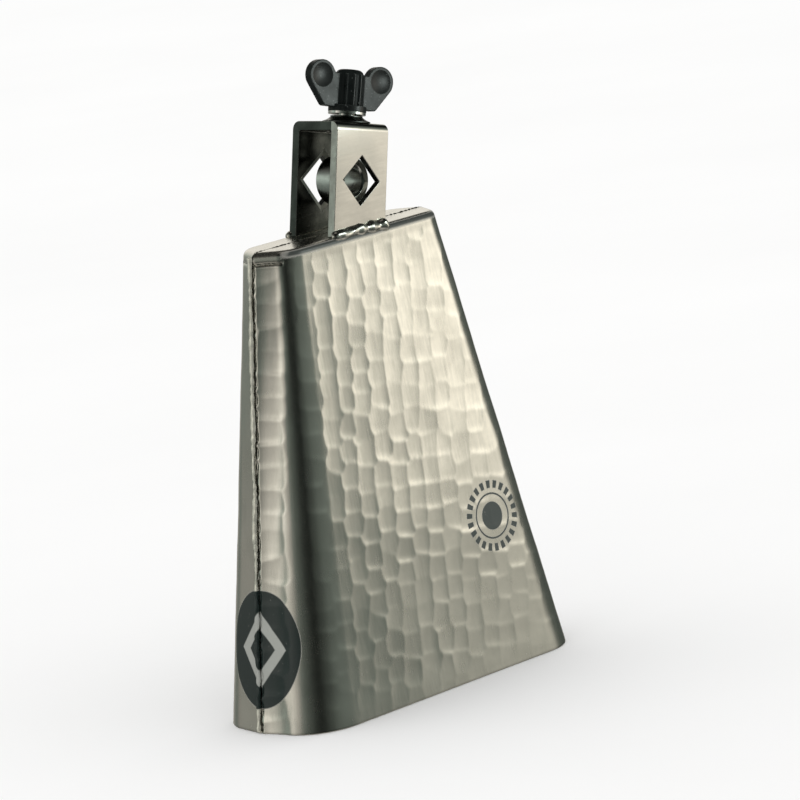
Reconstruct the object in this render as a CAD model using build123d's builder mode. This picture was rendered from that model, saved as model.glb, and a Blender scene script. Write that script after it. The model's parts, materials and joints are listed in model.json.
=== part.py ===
from build123d import *
import math
import os

os.makedirs("parts", exist_ok=True)

# A mounted cowbell that stands on its mouth.
# Origin: centre of the mouth rim. +Z: along the bell to its closed end.
# +X: along the broad face. +Y: from the front face to the back face.

# ---- bell ----
BELL_HEIGHT = 203.0  # an 8 inch bell
SHEET = 1.5
MOUTH_RIDGE = 85.8  # half width at the ridge of the narrow side
MOUTH_FACE = 79.9  # half width of the broad face, to its sharp corner
MOUTH_DEPTH = 34.0  # half depth
MOUTH_CORNER = 22.0  # radius between the broad and the narrow side
TOP_RIDGE = 52.3
TOP_FACE = 44.4
TOP_DEPTH = 15.8
TOP_CORNER = 11.0
TOP_FOLD = 3.0  # outer radius where the faces fold into the closed end
SEAM = 1.0  # width of the welded gap between the two shells
TAB_DEPTH = 4.6  # the closed end's tabs fold down over the narrow sides
TAB_GAP = 0.8
TAB_REACH = 46.5  # half width at which the tab joints stop, short of the broad corners

# ---- mount bracket, in its own leaning frame ----
BRACKET_LEAN = 13.5  # degrees from the bell's axis, towards +X
BRACKET_X = -1.1
BRACKET_WIDTH = 30.4
BRACKET_DEPTH = 28.1
BRACKET_HEIGHT = 46.3
PLATE = 4.0
BEND = 3.6  # outer radius of the two bends
BEND_INNER = 0.6
DIAMOND_HEIGHT = 21.3  # centre of the diamond holes above the closed end
DIAMOND_HALF = 10.9  # half diagonal
ROLL_WIDTH = 2.0  # rolled edge of the holes on the inner faces
ROLL_DEPTH = 0.8
BOLT_HOLE = 7.0  # radius of the oversize hole in the top
BEAD = 3.2  # radius of the weld beads along the feet
BEAD_OVERRUN = 1.4
LEG_SINK = 10.0  # the legs are drawn this much too long, then cut to the closed end

# ---- eye bolt and collar; bolt and nut heights are above the eye's centre ----
BOLT_LEAN = BRACKET_LEAN + 3.0  # the loose bolt leans in its hole
BOLT_Y = -2.0
EYE_RADIUS = 10.6
EYE_BORE = 6.5
EYE_LENGTH = 12.0
EYE_EDGE = 0.8
NECK_RADIUS = 5.0
NECK_END = 14.0
STUD_RADIUS = 4.0
STUD_END = 37.0
STUD_CHAMFER = 0.8
COLLAR_BORE = 4.9
COLLAR_FOOT = 10.4
COLLAR_TOP = 7.0
COLLAR_HEIGHT = 3.0
COLLAR_LIP = 0.6

# ---- wing nut ----
RUNNING = 0.05  # radial clearance of the thread
NUT_FOOT = 28.5
FLANGE_RADIUS = 8.2
FLANGE_THICK = 1.2
SLEEVE_RADIUS = 5.1
SLEEVE_END = 43.6
BOSS_RADIUS = 6.2
BOSS_END = 48.0
BOSS_ROUND = 2.6
SKIRT_RADIUS = 8.3
SKIRT_HEIGHT = 2.6
RIB_RADIUS = 0.8
RIB_COUNT = 12
WING_TURN = -8.0  # degrees about the bolt at rest
WING_THICK = 4.2
LOBE_OUT = 15.5  # centre of a wing's round lobe
LOBE_HEIGHT = 44.3
LOBE_RADIUS = 6.6
DISH_RADIUS = 5.3
DISH_DEPTH = 0.9
TOE_OUT = 12.6
TOE_HEIGHT = 33.0
TOE_RADIUS = 1.8
WEB_TOP = 46.0
WEB_OUT = 9.6

LONG = 400.0
BOTH = (-1, 1)


def leaning_frame(origin, degrees):
    """A frame whose Z leans from the bell's axis towards +X."""
    lean = math.radians(degrees)
    return Plane(
        origin=origin,
        x_dir=(math.cos(lean), 0, -math.sin(lean)),
        z_dir=(math.sin(lean), 0, math.cos(lean)),
    )


def save(piece, name):
    """Label a finished piece and write its STEP file."""
    piece.label = name
    export_step(piece, f"parts/{name}.step")


def bell_plan(height, ridge, face, depth, corner, inset):
    """The bell's plan at a height: a hexagon with its four broad corners rounded."""
    with BuildSketch(Plane.XY.offset(height)) as outline:
        with BuildLine():
            Polyline(
                (-ridge, 0),
                (-face, -depth),
                (face, -depth),
                (ridge, 0),
                (face, depth),
                (-face, depth),
                close=True,
            )
        make_face()
        broad_corners = outline.vertices().filter_by(lambda v: abs(v.Y) > depth / 2)
        fillet(broad_corners, corner)
        if inset:
            offset(amount=-inset, kind=Kind.INTERSECTION, mode=Mode.REPLACE)
    return outline.sketch


def bell_body(inset):
    """The closed body inside the bell's outer surface, drawn in by the inset."""
    with BuildPart() as body:
        add(bell_plan(0, MOUTH_RIDGE, MOUTH_FACE, MOUTH_DEPTH, MOUTH_CORNER, inset))
        add(bell_plan(BELL_HEIGHT - inset, TOP_RIDGE, TOP_FACE, TOP_DEPTH, TOP_CORNER, inset))
        loft(ruled=True)
        closed_end = body.faces().sort_by(Axis.Z)[-1]
        fillet(closed_end.edges(), TOP_FOLD - inset)
    return body.part


# ---- bell: two folded shells with welded seams ----
bell_outer = bell_body(0)
bell_inner = bell_body(SHEET)

with BuildPart() as bell_sheet:
    add(bell_outer)
    add(bell_inner, mode=Mode.SUBTRACT)

with BuildPart() as tab_gaps:
    for side in BOTH:
        with BuildSketch(Plane.XY.offset(BELL_HEIGHT - TAB_DEPTH - TAB_GAP)):
            with Locations((side * (TAB_REACH + LONG / 2), 0)):
                Rectangle(LONG, LONG)
        extrude(amount=TAB_GAP)

with BuildPart() as seam_slab:
    Box(LONG, SEAM, 2 * LONG)

for name, back in (("front_shell", False), ("back_shell", True)):
    with BuildPart() as shell:
        add(bell_sheet.part)
        split(bisect_by=Plane.XZ, keep=Keep.BOTTOM if back else Keep.TOP)
        add(seam_slab.part, mode=Mode.SUBTRACT)
        add(tab_gaps.part, mode=Mode.SUBTRACT)
    save(shell.part, name)

with BuildPart() as tab_welds:
    add(bell_sheet.part)
    add(tab_gaps.part, mode=Mode.INTERSECT)
    add(seam_slab.part, mode=Mode.SUBTRACT)
save(tab_welds.part, "tab_weld_beads")

with BuildPart() as seam_ring:
    add(bell_sheet.part)
    add(seam_slab.part, mode=Mode.INTERSECT)

for name, low, high in (
    ("left_seam_weld", -LONG, -TOP_RIDGE + 2 * SHEET),
    ("right_seam_weld", TOP_RIDGE - 2 * SHEET, LONG),
    ("top_seam_weld", -TOP_RIDGE + 2 * SHEET, TOP_RIDGE - 2 * SHEET),
):
    with BuildPart() as seam:
        add(seam_ring.part)
        split(bisect_by=Plane.YZ.offset(low), keep=Keep.TOP)
        split(bisect_by=Plane.YZ.offset(high), keep=Keep.BOTTOM)
    save(seam.part, name)

# ---- mount bracket: a bent strap with a diamond hole through both legs ----
bracket_foot = (BRACKET_X, 0, BELL_HEIGHT)
bracket_frame = leaning_frame(bracket_foot, BRACKET_LEAN)
bracket_end = Plane(origin=bracket_foot, x_dir=(0, 1, 0), z_dir=bracket_frame.x_dir)
bracket_middle = Plane(
    origin=bracket_frame.from_local_coords((0, 0, DIAMOND_HEIGHT)),
    x_dir=bracket_frame.x_dir,
    z_dir=(0, -1, 0),
)
inner_half = BRACKET_DEPTH / 2 - PLATE


def strap_outline(half_depth, height, radius):
    """An arch on legs that reach below the closed end."""
    with BuildSketch(bracket_end) as outline:
        with Locations((0, (height - LEG_SINK) / 2)):
            Rectangle(2 * half_depth, height + LEG_SINK)
        top_corners = outline.vertices().group_by(Axis.Z)[-1]
        fillet(top_corners, radius)
    return outline.sketch


def diamond(distance, half):
    """A square standing on its corner, parallel to the legs and this far forward of the middle."""
    with BuildSketch(bracket_middle.offset(distance)) as outline:
        Rectangle(half * math.sqrt(2), half * math.sqrt(2), rotation=45)
    return outline.sketch


with BuildPart() as bracket:
    extrude(strap_outline(BRACKET_DEPTH / 2, BRACKET_HEIGHT, BEND), amount=BRACKET_WIDTH / 2, both=True)
    extrude(
        strap_outline(inner_half, BRACKET_HEIGHT - PLATE, BEND_INNER),
        amount=BRACKET_WIDTH / 2,
        both=True,
        mode=Mode.SUBTRACT,
    )
    extrude(diamond(0, DIAMOND_HALF), amount=BRACKET_DEPTH, both=True, mode=Mode.SUBTRACT)
    for side in BOTH:
        rolled = diamond(side * inner_half, DIAMOND_HALF + ROLL_WIDTH * math.sqrt(2))
        straight = diamond(side * (inner_half + ROLL_DEPTH), DIAMOND_HALF)
        loft([*rolled.faces(), *straight.faces()], ruled=True, mode=Mode.SUBTRACT)
    with Locations(bracket_frame.offset(BRACKET_HEIGHT)):
        Hole(BOLT_HOLE, depth=2 * PLATE)
    split(bisect_by=Plane.XY.offset(BELL_HEIGHT), keep=Keep.TOP)
save(bracket.part, "mount_bracket")

# ---- weld beads along the bracket's feet ----
bead_length = BRACKET_WIDTH / math.cos(math.radians(BRACKET_LEAN)) + 2 * BEAD_OVERRUN
with BuildPart() as bracket_welds:
    for side in BOTH:
        foot_line = Plane(
            origin=(BRACKET_X, side * BRACKET_DEPTH / 2, BELL_HEIGHT),
            x_dir=(0, 1, 0),
            z_dir=(1, 0, 0),
        )
        with BuildSketch(foot_line):
            Circle(BEAD)
        extrude(amount=bead_length / 2, both=True)
    chamfer(bracket_welds.edges().filter_by(GeomType.CIRCLE), BEAD_OVERRUN)
    add(bell_outer, mode=Mode.SUBTRACT)
    add(bracket.part, mode=Mode.SUBTRACT)
save(bracket_welds.part, "bracket_weld_beads")

# ---- eye bolt: a ring on a stud, loose in the bracket ----
eye_centre = bracket_frame.from_local_coords((0, BOLT_Y, DIAMOND_HEIGHT))
bolt_frame = leaning_frame(eye_centre, BOLT_LEAN)
eye_plane = Plane(origin=eye_centre, x_dir=bolt_frame.x_dir, z_dir=(0, -1, 0))

shank_start = (EYE_BORE + EYE_RADIUS) / 2  # inside the ring, clear of its bore

with BuildPart() as eye_bolt:
    with BuildSketch(bolt_frame.offset(shank_start)):
        Circle(NECK_RADIUS)
    extrude(amount=NECK_END - shank_start)
    chamfer(eye_bolt.edges().sort_by(Axis.Z)[-1], NECK_RADIUS - STUD_RADIUS)
    with BuildSketch(bolt_frame.offset(shank_start)):
        Circle(STUD_RADIUS)
    extrude(amount=STUD_END - shank_start)
    stud_tip = eye_bolt.edges().filter_by(GeomType.CIRCLE).sort_by(Axis.Z)[-1]
    chamfer(stud_tip, STUD_CHAMFER)
    with BuildSketch(eye_plane):
        Circle(EYE_RADIUS)
    extrude(amount=EYE_LENGTH / 2, both=True)
    with BuildSketch(eye_plane):
        Circle(EYE_BORE)
    extrude(amount=EYE_LENGTH, both=True, mode=Mode.SUBTRACT)
    eye_rims = eye_bolt.faces().filter_by(Axis.Y).edges().filter_by(GeomType.CIRCLE)
    chamfer(eye_rims, EYE_EDGE)
save(eye_bolt.part, "eye_bolt")

# ---- flared collar between the bracket and the wing nut ----
stud_to_collar = (BRACKET_HEIGHT - DIAMOND_HEIGHT) * math.tan(math.radians(BOLT_LEAN - BRACKET_LEAN))
collar_seat = Plane(
    origin=bracket_frame.from_local_coords((stud_to_collar, BOLT_Y, BRACKET_HEIGHT)),
    x_dir=bracket_frame.x_dir,
    z_dir=bracket_frame.z_dir,
)
collar_profile_plane = Plane(
    origin=collar_seat.origin,
    x_dir=collar_seat.x_dir,
    z_dir=(0, -1, 0),
)
with BuildPart() as collar:
    with BuildSketch(collar_profile_plane):
        with BuildLine():
            foot_inner = (COLLAR_BORE, 0)
            foot_outer = (COLLAR_FOOT, 0)
            lip = (COLLAR_FOOT, COLLAR_LIP)
            neck = (COLLAR_TOP, COLLAR_HEIGHT - COLLAR_LIP)
            rim = (COLLAR_TOP, COLLAR_HEIGHT)
            Polyline(foot_inner, foot_outer, lip)
            TangentArc(lip, neck, tangent=(-1, 0.25))
            Polyline(neck, rim, (COLLAR_BORE, COLLAR_HEIGHT), foot_inner)
        make_face()
    revolve(axis=Axis(collar_seat.origin, collar_seat.z_dir))
save(collar.part, "flared_collar")

# ---- wing nut: a threaded metal bush moulded into a plastic body ----
wing_plane = Plane(
    origin=eye_centre,
    x_dir=bolt_frame.from_local_coords(Vector(1, 0, 0).rotate(Axis.Z, WING_TURN)) - eye_centre,
    z_dir=bolt_frame.from_local_coords(Vector(0, -1, 0).rotate(Axis.Z, WING_TURN)) - eye_centre,
)
flange_top = NUT_FOOT + FLANGE_THICK

with BuildPart() as bush:
    with BuildSketch(bolt_frame.offset(NUT_FOOT)):
        Circle(FLANGE_RADIUS)
    extrude(amount=FLANGE_THICK)
    with BuildSketch(bolt_frame.offset(NUT_FOOT)):
        Circle(SLEEVE_RADIUS)
    extrude(amount=SLEEVE_END - NUT_FOOT)
    with BuildSketch(bolt_frame.offset(NUT_FOOT)):
        Circle(STUD_RADIUS + RUNNING)
    extrude(amount=SLEEVE_END - NUT_FOOT, mode=Mode.SUBTRACT)
save(bush.part, "wing_nut_bush")


def wing_outline(side):
    """One wing: a round lobe, a toe below it and a straight web in to the boss."""
    with BuildSketch(wing_plane) as outline:
        with Locations((side * LOBE_OUT, LOBE_HEIGHT)):
            Circle(LOBE_RADIUS)
        with Locations((side * TOE_OUT, TOE_HEIGHT)):
            Circle(TOE_RADIUS)
        with Locations((side * TOE_RADIUS, TOE_HEIGHT)):
            Circle(TOE_RADIUS)
        make_hull()
        with Locations((side * WEB_OUT / 2, (TOE_HEIGHT + WEB_TOP) / 2)):
            Rectangle(WEB_OUT, WEB_TOP - TOE_HEIGHT)
    return outline.sketch


with BuildPart() as wings:
    for side in BOTH:
        extrude(wing_outline(side), amount=WING_THICK / 2, both=True)
    dish_sphere = (DISH_RADIUS**2 + DISH_DEPTH**2) / (2 * DISH_DEPTH)
    for side in BOTH:
        for face in BOTH:
            dish = wing_plane.offset(face * (WING_THICK / 2 - DISH_DEPTH + dish_sphere))
            with Locations(dish.from_local_coords((side * LOBE_OUT, LOBE_HEIGHT, 0))):
                Sphere(dish_sphere, mode=Mode.SUBTRACT)

with BuildPart() as wing_nut:
    with BuildSketch(bolt_frame.offset(flange_top)):
        Circle(BOSS_RADIUS)
    extrude(amount=BOSS_END - flange_top)
    fillet(wing_nut.edges().sort_by(Axis.Z)[-1], BOSS_ROUND)
    with BuildSketch(bolt_frame.offset(flange_top)):
        Circle(SKIRT_RADIUS)
    extrude(amount=SKIRT_HEIGHT)
    with BuildSketch(bolt_frame.offset(flange_top)):
        with PolarLocations(BOSS_RADIUS, RIB_COUNT, start_angle=WING_TURN + 180 / RIB_COUNT):
            Circle(RIB_RADIUS)
    extrude(amount=WEB_TOP - flange_top)
    add(wings.part)
    with BuildSketch(bolt_frame.offset(flange_top)):
        Circle(SLEEVE_RADIUS)
    extrude(amount=SLEEVE_END - flange_top, mode=Mode.SUBTRACT)
save(wing_nut.part, "wing_nut_body")
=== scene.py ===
"""Looks of a hammered steel cowbell on a mounting bracket, built around its solid parts."""

import json
import math

import bmesh
import bpy
import numpy as np
from mathutils import Matrix, Vector

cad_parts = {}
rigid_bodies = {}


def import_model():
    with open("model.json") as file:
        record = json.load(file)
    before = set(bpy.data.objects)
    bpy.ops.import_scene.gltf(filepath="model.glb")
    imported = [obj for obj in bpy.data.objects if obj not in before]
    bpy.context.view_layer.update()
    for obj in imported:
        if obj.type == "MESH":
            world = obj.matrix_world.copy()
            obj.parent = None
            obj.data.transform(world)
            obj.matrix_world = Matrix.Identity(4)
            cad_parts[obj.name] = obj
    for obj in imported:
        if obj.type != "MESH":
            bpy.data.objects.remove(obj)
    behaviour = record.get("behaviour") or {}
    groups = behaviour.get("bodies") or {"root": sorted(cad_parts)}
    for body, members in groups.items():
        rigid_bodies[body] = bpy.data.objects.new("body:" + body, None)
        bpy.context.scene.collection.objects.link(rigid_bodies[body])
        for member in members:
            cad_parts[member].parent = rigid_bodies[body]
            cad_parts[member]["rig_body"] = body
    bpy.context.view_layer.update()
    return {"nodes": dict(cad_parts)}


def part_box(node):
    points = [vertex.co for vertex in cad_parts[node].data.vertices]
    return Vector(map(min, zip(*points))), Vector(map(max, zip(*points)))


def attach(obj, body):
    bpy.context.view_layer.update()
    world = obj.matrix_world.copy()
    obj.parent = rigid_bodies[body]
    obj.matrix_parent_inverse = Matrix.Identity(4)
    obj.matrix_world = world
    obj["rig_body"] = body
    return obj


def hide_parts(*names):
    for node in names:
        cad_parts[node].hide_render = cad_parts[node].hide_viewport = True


MM = 0.001

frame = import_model()

# ---- the bell's driving sizes ----
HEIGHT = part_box("front_shell")[1].z
SHEET = 1.5 * MM
SEAM_HALF = 0.5 * MM  # half the gap between the two sheets
FOLD = 3.0 * MM  # outer radius of the fold to the closed end
RIM_ROUND = 0.35 * MM
TOP_RIDGE = 52.3 * MM
TAB_LINE = HEIGHT - 5.0 * MM  # height of the joint under the folded tabs
TAB_REACH = 46.5 * MM  # the joint lies further than this from the bell's middle
MOUTH = {
    "ridge": -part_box("left_seam_weld")[0].x,
    "face": 79.9 * MM,
    "depth": -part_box("front_shell")[0].y,
    "corner": 22.0 * MM,
}
TOP = {"ridge": TOP_RIDGE, "face": 44.4 * MM, "depth": 15.8 * MM, "corner": 11.0 * MM}
FRONT, BACK = -1, 1


# ---- number helpers ----
def smooth_step(low, high, values):
    """0 below low, 1 above high, smooth between."""
    share = np.clip((values - low) / (high - low), 0, 1)
    return share * share * (3 - 2 * share)


def ripple(seed, wavelength, *coordinates):
    """Smooth random waves of about unit height along the given coordinates."""
    rng = np.random.default_rng(seed)
    total = 0.0
    for _ in range(8):
        turn = rng.normal(size=len(coordinates))
        turn /= np.linalg.norm(turn)
        length = wavelength * rng.uniform(0.7, 1.5)
        along = sum(t * c for t, c in zip(turn, coordinates))
        total = total + np.sin(2 * math.pi * along / length + rng.uniform(0, 2 * math.pi))
    return total / 2.0


# ---- bell surface ----
class HalfPlan:
    """One long half of the bell's plan at a height, from its left seam edge to its right one."""

    def __init__(self, ridge, face, depth, corner, inset):
        along = np.array([ridge - face, depth])
        along /= np.linalg.norm(along)
        ridge = ridge - inset / along[1]
        depth = depth - inset
        corner = corner - inset
        face = ridge - along[0] / along[1] * depth
        turn = math.acos(along[0])
        tangent = corner * math.tan(turn / 2)
        self.radius = corner
        self.turn = turn
        self.start = np.array([-ridge, 0.0]) + along * SEAM_HALF / along[1]
        self.flange_end = np.array([-face, depth]) - along * tangent
        self.centre = self.flange_end + np.array([along[1], -along[0]]) * corner
        self.face_start = np.array([-face + tangent, depth])

    def left(self, q):
        """Points of the left flange (q 0 to 1) and the left corner (q 1 to 2)."""
        on_flange = np.clip(q, 0, 1)[..., None]
        flange = self.start + (self.flange_end - self.start) * on_flange
        bend = math.pi / 2 + self.turn * (1 - np.clip(q - 1, 0, 1))
        corner = self.centre + self.radius * np.stack([np.cos(bend), np.sin(bend)], -1)
        return np.where((q < 1)[..., None], flange, corner)

    def point(self, q):
        """Plan points (x, depth) for q from 0 (left seam) to 5 (right seam)."""
        near_left = q <= 2.5
        mirrored = np.where(near_left, q, 5 - q)
        side = self.left(np.minimum(mirrored, 2))
        side[..., 0] = np.where(near_left, side[..., 0], -side[..., 0])
        across = np.clip(q - 2, 0, 1)
        face_x = self.face_start[0] * (1 - 2 * across)
        face = np.stack([face_x, np.full_like(face_x, self.face_start[1])], -1)
        on_face = (q >= 2) & (q <= 3)
        return np.where(on_face[..., None], face, side)


class BellSurface:
    """The bell's outer surface, or the surface one inset further in."""

    def __init__(self, inset=0.0):
        self.mouth = HalfPlan(**MOUTH, inset=inset)
        self.top = HalfPlan(**TOP, inset=inset)
        self.height = HEIGHT - inset
        self.fold = FOLD - inset

    def wall(self, q, t):
        """Wall point (x, depth, z) at plan place q and height share t."""
        plan = self.mouth.point(q) * (1 - t)[..., None] + self.top.point(q) * t[..., None]
        return np.concatenate([plan, (self.height * t)[..., None]], -1)

    def flange_length(self, t):
        """Length of the flange at height share t."""
        low = np.linalg.norm(self.mouth.flange_end - self.mouth.start)
        high = np.linalg.norm(self.top.flange_end - self.top.start)
        return low * (1 - t) + high * t

    def grid(self, q, wall_rows, fold_rows, top_rows):
        """Rows of points from the mouth up the wall, over the fold and across to the seam."""
        edge = self.top.point(q)
        step = 1e-4
        ahead = self.top.point(np.minimum(q + step, 5))
        behind = self.top.point(np.maximum(q - step, 0))
        along = ahead - behind
        along /= np.linalg.norm(along, axis=-1, keepdims=True)
        outward = np.stack([-along[:, 1], along[:, 0]], -1)
        flare = np.sum((self.mouth.point(q) - edge) * outward, -1)
        lean = np.arctan(flare / self.height)
        tangent = self.fold * np.tan(math.pi / 4 - lean / 2)
        wall_end = 1 - tangent * np.cos(lean) / self.height
        rows = [self.wall(q, wall_end * share) for share in wall_rows]
        flat = np.zeros((len(q), 1))
        level_out = np.concatenate([outward, flat], -1)
        upright = np.array([0, 0, 1.0])
        fold_centre = np.concatenate(
            [edge - outward * tangent[:, None], flat + self.height - self.fold], -1
        )

        def on_fold(angle):
            arm = level_out * np.cos(angle)[:, None] + upright * np.sin(angle)[:, None]
            return fold_centre + self.fold * arm

        slip = rows[-1] - on_fold(lean)
        for share in fold_rows:
            angle = lean + (math.pi / 2 - lean) * share
            rows.append(on_fold(angle) + slip * (1 - share))
        brink = rows[-1]
        seam_line = brink.copy()
        seam_line[:, 1] = SEAM_HALF
        for share in top_rows:
            rows.append(brink + (seam_line - brink) * share)
        return np.array(rows)


# ---- hammer marks ----
STRIKE_ACROSS = 9.6 * MM
STRIKE_UP = 10.6 * MM
STRIKE_TURN = math.radians(10)  # the columns of strikes are laid this far clockwise of the axis
STRIKE_STAGGER = 0.3  # every other column starts higher by this share of a strike
COLUMN_SCATTER = 0.2
PLACE_SCATTER = (0.05, 0.07)  # across and up, in shares of the spacing
TILT_SCATTER = (0.006, 0.008)
TILT_UP = 0.004
FORCES = (0.88, 1.12)
WIDTHS = (0.95, 1.1)
FACE_REGION = (-125 * MM, 95 * MM, -24 * MM, HEIGHT + 20 * MM)  # left, right, low, high
FLANGE_ACROSS = 13 * MM
FLANGE_UP = 9.7 * MM
FLANGE_REGION = (0.3 * MM, 12 * MM, 0.0, HEIGHT)
DISH_DEPTH = 0.22 * MM
DISH_SIDE = 0.085 * MM  # rise of a dish to its sides, to its lower and to its upper end
DISH_LOW = 0.19 * MM
DISH_HIGH = 0.12 * MM
DISH_HALF_WIDTH = 0.5  # shares of the spacing from a dish's lowest point to its ends
DISH_DOWN = 0.55
DISH_UP = 0.9
DISH_REACH = (1.2, 1.5)
DISH_CURVE = 2.6

# places along the plan run from 0 at the seam to 1 at the flange's end and 2 at the corner's end
FACE_FROM = (1.15, 1.7)  # the broad face's strikes grow from none to full
FLANGE_TO = (0.95, 1.3)  # the flange's strikes fade out
FLANGE_LAST = 1.4
FLANGE_FORCE = 2.4
FLANGE_SIDE = 2.2 * DISH_SIDE
CORNER_MIDDLE = 1.45
CORNER_HALF = (0.35, 0.75)  # the corner's dents fade out to either side of its middle
CORNER_WAVE = (19 * MM, 0.035 * MM)  # length and height of the dents along a corner
SWELL_WAVE = (60 * MM, 0.05 * MM)  # length and height of the whole wall's unevenness
MOUTH_FORCE = 0.35  # force of the strikes at the mouth, reaching 1 over MOUTH_FADE
MOUTH_FADE = (4 * MM, 16 * MM)
TOP_FADE = (HEIGHT - 7 * MM, HEIGHT - 3 * MM)
LIP_DROP = 0.45 * MM  # how far the sheet's edge is drawn in along the seam
LIP_WAVE = (7 * MM, 0.2 * MM)
LIP_WIDTH = (0.1 * MM, 1.3 * MM)
CORNER_SEED, SWELL_SEED, LIP_SEED = 5, 8, 15
GROOVE_HALF = 0.45 * MM
GROOVE_DEPTH = 0.6 * MM


def strikes(seed, across, up, left, right, low, high):
    """Place, force, tilts and width of hammer strikes laid in wandering columns."""
    rng = np.random.default_rng(seed)
    columns = int((right - left) / across) + 1
    count = int((high - low) / up) + 2
    marks = []
    for column in range(columns):
        shift = (column % 2) * STRIKE_STAGGER + rng.uniform(-COLUMN_SCATTER, COLUMN_SCATTER)
        for row in range(count):
            marks.append(
                (
                    left + (column + 0.5) * across + rng.normal(0, PLACE_SCATTER[0]) * across,
                    low + (row + shift) * up + rng.normal(0, PLACE_SCATTER[1]) * up,
                    rng.uniform(*FORCES),
                    rng.normal(0, TILT_SCATTER[0]),
                    rng.normal(0, TILT_SCATTER[1]) + TILT_UP,
                    rng.uniform(*WIDTHS),
                )
            )
    return marks


def strike_field(marks, across, up, a, b, side_rise=DISH_SIDE):
    """Height of the struck surface at (a, b): each strike is a dish, steepest at its lower end."""
    level = np.zeros_like(a)
    for mark_a, mark_b, force, tilt_a, tilt_b, width in marks:
        near = np.abs(a - mark_a) < across * DISH_REACH[0]
        near &= np.abs(b - mark_b) < up * DISH_REACH[1]
        off_a, off_b = a[near] - mark_a, b[near] - mark_b
        side = off_a / (DISH_HALF_WIDTH * across * width)
        down = np.clip(-off_b / (DISH_DOWN * up), 0, None)
        rise = np.clip(off_b / (DISH_UP * up), 0, None)
        bowl = side_rise * np.abs(side) ** DISH_CURVE + DISH_LOW * down**4 + DISH_HIGH * rise**2
        dish = force * (np.minimum(bowl, 2 * DISH_DEPTH) - DISH_DEPTH)
        dish = dish + tilt_a * off_a + tilt_b * off_b
        level[near] = np.minimum(level[near], dish)
    return level


FACE_MARKS = {
    side: strikes(seed, STRIKE_ACROSS, STRIKE_UP, *FACE_REGION)
    for side, seed in ((FRONT, 11), (BACK, 12))
}
FLANGE_MARKS = strikes(21, FLANGE_ACROSS, FLANGE_UP, *FLANGE_REGION)


def hammering(side, surface, q, t):
    """Depth of the hammering (negative inwards) at wall place q, t on one side of the bell."""
    point = surface.wall(q, t)
    x, z = point[..., 0], point[..., 2]
    mirrored = np.minimum(q, 5 - q)
    turned = x * math.cos(STRIKE_TURN) - z * math.sin(STRIKE_TURN)
    raised = x * math.sin(STRIKE_TURN) + z * math.cos(STRIKE_TURN)
    face = strike_field(FACE_MARKS[side], STRIKE_ACROSS, STRIKE_UP, turned, raised)
    fade = MOUTH_FORCE + (1 - MOUTH_FORCE) * smooth_step(*MOUTH_FADE, z)
    depth = smooth_step(*FACE_FROM, mirrored) * fade * face
    if side == FRONT:
        on_flange = 1 - smooth_step(*FLANGE_TO, mirrored)
        along = np.minimum(mirrored, FLANGE_LAST) * surface.flange_length(t)
        flange = strike_field(FLANGE_MARKS, FLANGE_ACROSS, FLANGE_UP, along, z, FLANGE_SIDE)
        depth = depth + FLANGE_FORCE * on_flange * flange
    on_corner = 1 - smooth_step(*CORNER_HALF, np.abs(mirrored - CORNER_MIDDLE))
    dents = ripple(CORNER_SEED + side, CORNER_WAVE[0], z, x * 0.4)
    depth = depth + on_corner * dents * CORNER_WAVE[1]
    depth = depth + ripple(SWELL_SEED + side, SWELL_WAVE[0], x, z) * SWELL_WAVE[1]
    from_seam = mirrored * surface.flange_length(t)
    lip = LIP_DROP + LIP_WAVE[1] * ripple(LIP_SEED + side, LIP_WAVE[0], z + x)
    depth = depth - lip * (1 - smooth_step(*LIP_WIDTH, from_seam)) ** 2
    in_groove = (np.abs(z - TAB_LINE) < GROOVE_HALF) & (np.abs(x) > TAB_REACH)
    depth = depth - in_groove * GROOVE_DEPTH
    return np.where(in_groove, depth, depth * (1 - smooth_step(*TOP_FADE, z)))


def to_world(points, side):
    """(x, depth, z) to (x, y, z) on one side of the bell."""
    return points * np.array([1, side, 1])


def surface_normals(points, side):
    """Outward unit normals of a grid of world points whose columns run left to right."""
    down_rows = np.gradient(points, axis=0)
    along_columns = np.gradient(points, axis=1)
    normal = np.cross(along_columns, down_rows)
    if side == BACK:
        normal = -normal
    size = np.linalg.norm(normal, axis=-1, keepdims=True)
    return np.where(size > 1e-12, normal / np.maximum(size, 1e-12), np.array([0, 0, 1.0]))


# ---- mesh helpers ----
MERGE = 1e-6  # points closer than this are one point


def shade_smooth(mesh):
    """Smooth shading on every face."""
    mesh.polygons.foreach_set("use_smooth", [True] * len(mesh.polygons))


def make_object(name, points, faces, face_materials=None):
    """A mesh object from points and faces, riding on the bell's body."""
    mesh = bpy.data.meshes.new(name)
    mesh.from_pydata([tuple(p) for p in points], [], faces)
    if face_materials is not None:
        mesh.polygons.foreach_set("material_index", face_materials)
    thing = bpy.data.objects.new(name, mesh)
    bpy.context.scene.collection.objects.link(thing)
    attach(thing, "bell")
    return thing


def finish_mesh(thing, sharp_degrees):
    """Weld doubled points, face outward, shade smooth with sharp edges kept."""
    mesh = thing.data
    shape = bmesh.new()
    shape.from_mesh(mesh)
    bmesh.ops.remove_doubles(shape, verts=shape.verts, dist=MERGE)
    bmesh.ops.dissolve_degenerate(shape, edges=shape.edges, dist=MERGE)
    bmesh.ops.recalc_face_normals(shape, faces=shape.faces)
    shape.to_mesh(mesh)
    shape.free()
    shade_smooth(mesh)
    mesh.set_sharp_from_angle(angle=math.radians(sharp_degrees))


def grid_faces(rows, columns, first, flip):
    """Quads of a grid of points stored row by row."""
    row, column = np.meshgrid(np.arange(rows - 1), np.arange(columns - 1), indexing="ij")
    a = first + row * columns + column
    quads = np.stack([a, a + 1, a + columns + 1, a + columns], -1).reshape(-1, 4)
    return (quads[:, ::-1] if flip else quads).tolist()


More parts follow.
